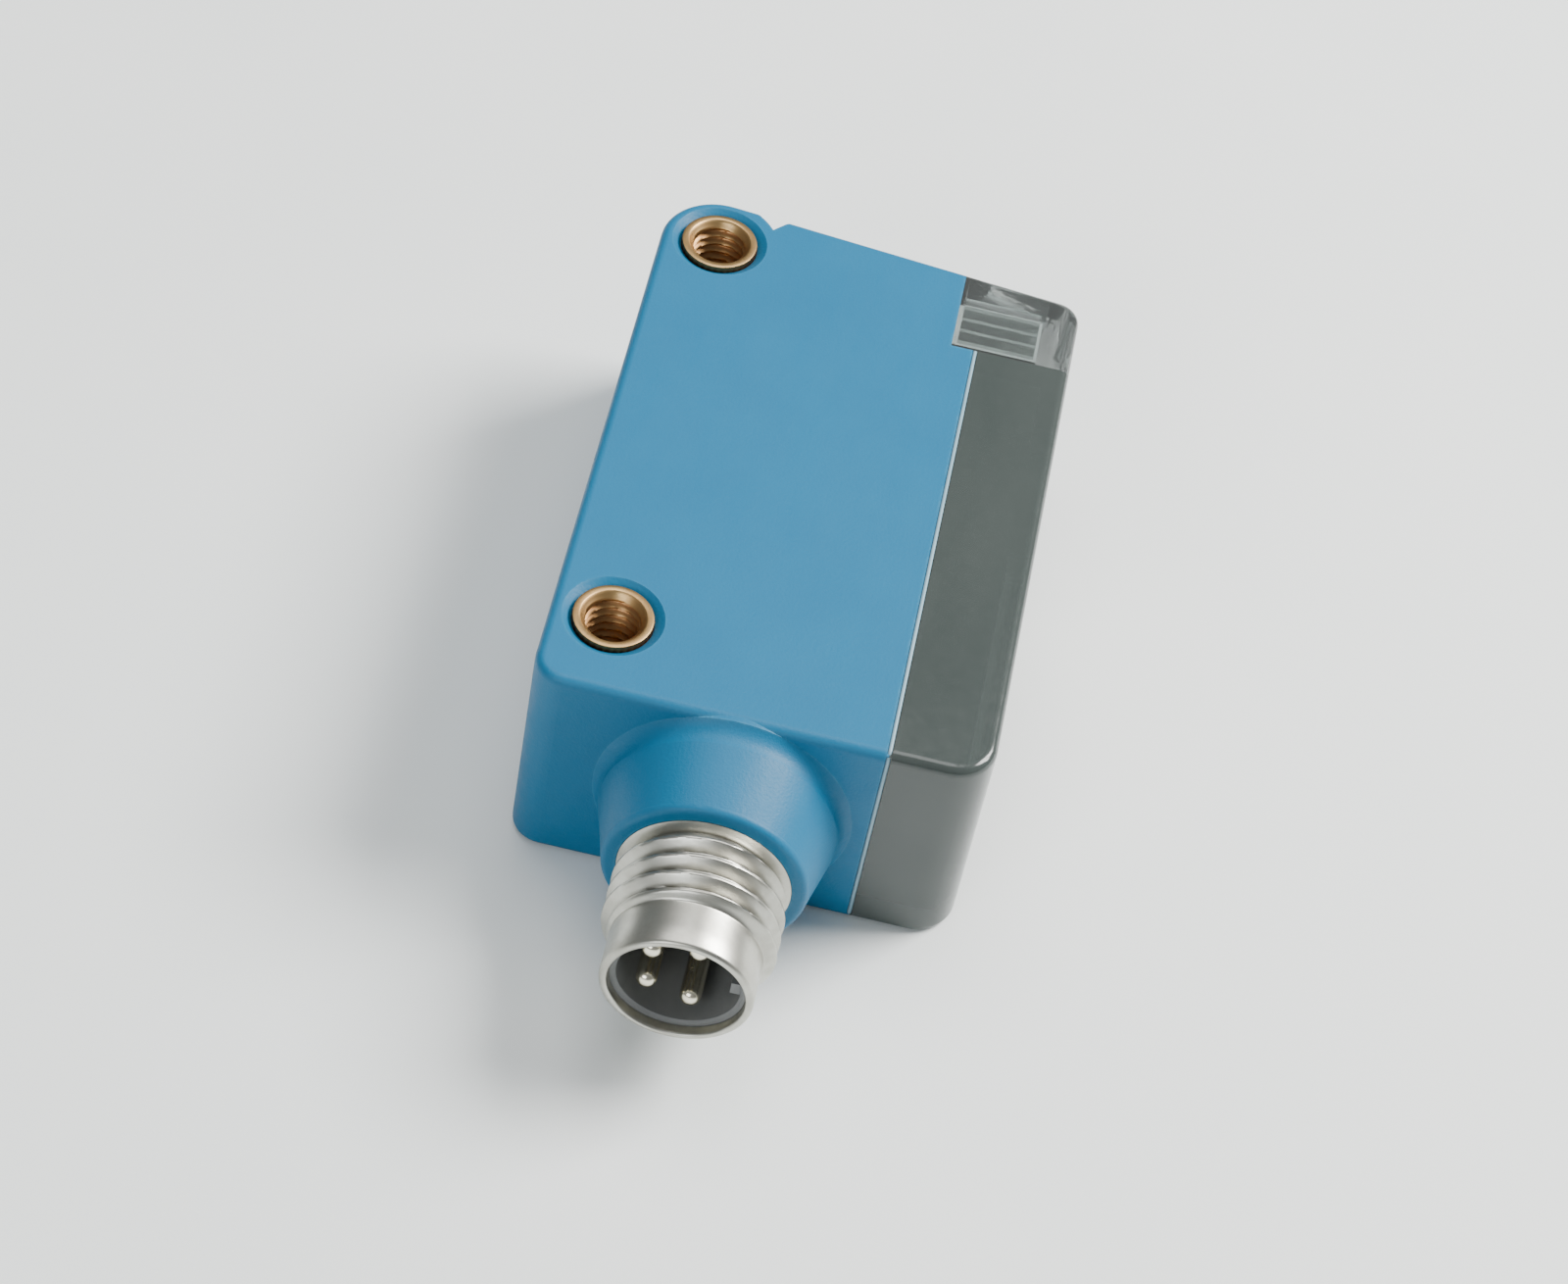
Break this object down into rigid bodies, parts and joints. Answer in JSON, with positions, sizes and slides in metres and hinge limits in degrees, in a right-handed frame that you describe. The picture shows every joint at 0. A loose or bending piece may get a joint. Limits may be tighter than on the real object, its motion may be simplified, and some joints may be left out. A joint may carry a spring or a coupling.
{
  "type": "ultrasonic distance sensor",
  "caption": "Miniature block sensor with a round transducer in a smoked front, corner indicator window, teach button, two screw inserts and an M8 plug.",
  "frame": {"origin": "midway between the two screw inserts, on the lower side face, which is the face it lies on", "axes": "+X towards the sensing face, +Y from the plug to the top end, +Z through the thickness, away from the lower side face"},
  "size_m": [0.021, 0.0434, 0.012],
  "materials": {
    "blue_plastic": "satin",
    "smoked_plastic": "gloss",
    "clear_plastic": "gloss",
    "seal_rubber": "matt",
    "brass": "machined",
    "plated_brass": "nickel plated, satin",
    "dark_plastic": "matt",
    "can_aluminium": "satin",
    "sensing_face": "fine matt",
    "piezo_ceramic": "silvered",
    "damping_compound": "matt",
    "soft_silicone": "matt",
    "board": "solder resist",
    "chip_black": "matt",
    "ferrite": "matt",
    "copper": "enamelled",
    "capacitor_ceramic": "satin",
    "lamp": "clear",
    "switch_plastic": "matt",
    "button_plastic": "matt",
    "gold_pin": "gold plated",
    "wire_red": "satin",
    "wire_black": "satin",
    "wire_brown": "satin",
    "wire_white": "satin",
    "wire_blue": "satin"
  },
  "bodies": {
    "sensor": {"button_seal": "seal_rubber", "capacitor_1": "capacitor_ceramic", "capacitor_2": "capacitor_ceramic", "capacitor_3": "capacitor_ceramic", "capacitor_can": "can_aluminium", "carrier_sleeve": "dark_plastic", "connector_seal": "seal_rubber", "connector_shell": "plated_brass", "contact_carrier": "dark_plastic", "contact_pin_1": "gold_pin", "contact_pin_2": "gold_pin", "contact_pin_3": "gold_pin", "contact_pin_4": "gold_pin", "damping_plug": "damping_compound", "decoupling_ring": "soft_silicone", "driver_chip": "chip_black", "front_cover": "smoked_plastic", "front_gasket": "seal_rubber", "housing": "blue_plastic", "indicator_window": "clear_plastic", "inner_frame": "dark_plastic", "keying_rib": "dark_plastic", "lead_wire_1": "wire_brown", "lead_wire_2": "wire_white", "lead_wire_3": "wire_blue", "lead_wire_4": "wire_black", "lower_insert": "brass", "main_board": "board", "matching_layer": "sensing_face", "microcontroller": "chip_black", "output_lamp": "lamp", "piezo_disc": "piezo_ceramic", "power_lamp": "lamp", "regulator_chip": "chip_black", "resistor_1": "chip_black", "resistor_2": "chip_black", "resistor_3": "chip_black", "shell_collar": "plated_brass", "shell_thread": "plated_brass", "sound_wire_1": "wire_red", "sound_wire_2": "wire_black", "switch_body": "switch_plastic", "transducer_can": "can_aluminium", "transformer_coil": "copper", "transformer_core": "ferrite", "upper_insert": "brass"},
    "button": {"teach_button": "button_plastic", "switch_plunger": "switch_plastic"}
  },
  "joints": [
    {"name": "teach_press", "type": "slide", "parent": "sensor", "child": "button", "axis": [0, -1, 0], "range_m": [0, 0.0004], "stiffness_N_per_m": 5000}
  ]
}
